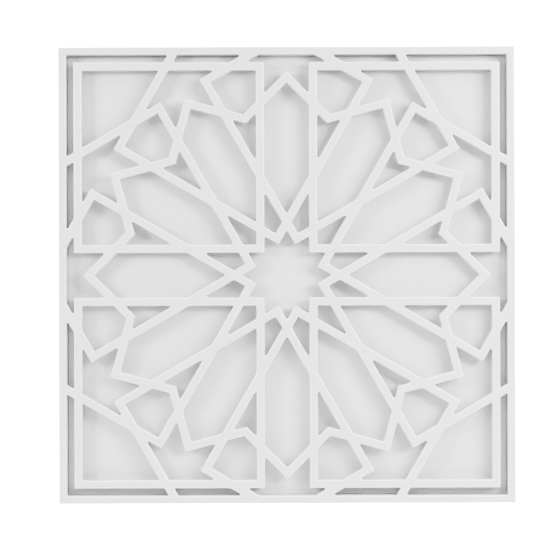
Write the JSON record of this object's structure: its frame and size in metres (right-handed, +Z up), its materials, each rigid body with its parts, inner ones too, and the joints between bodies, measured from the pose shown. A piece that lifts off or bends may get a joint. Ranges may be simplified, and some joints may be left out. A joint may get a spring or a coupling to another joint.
{
  "type": "carved wall panel",
  "caption": "Square white wall panel: a pierced star rosette of thin flat slats in a plain border, held off a flat backing board by shallow rims.",
  "frame": {"origin": "middle of the flat back face, which lies against the wall", "axes": "+X to the viewer's right, +Z up, and -Y out of the decorated front, so +Y goes into the wall"},
  "size_m": [0.6, 0.021, 0.6],
  "materials": {
    "fretwork": "satin white lacquer on fine fibreboard",
    "rim": "satin white lacquer on fine fibreboard",
    "backing": "matt white paint on smooth board"
  },
  "bodies": {
    "root": {"fretwork": "fretwork", "rim_top": "rim", "rim_bottom": "rim", "rim_left": "rim", "rim_right": "rim", "backing_board": "backing"}
  },
  "joints": []
}
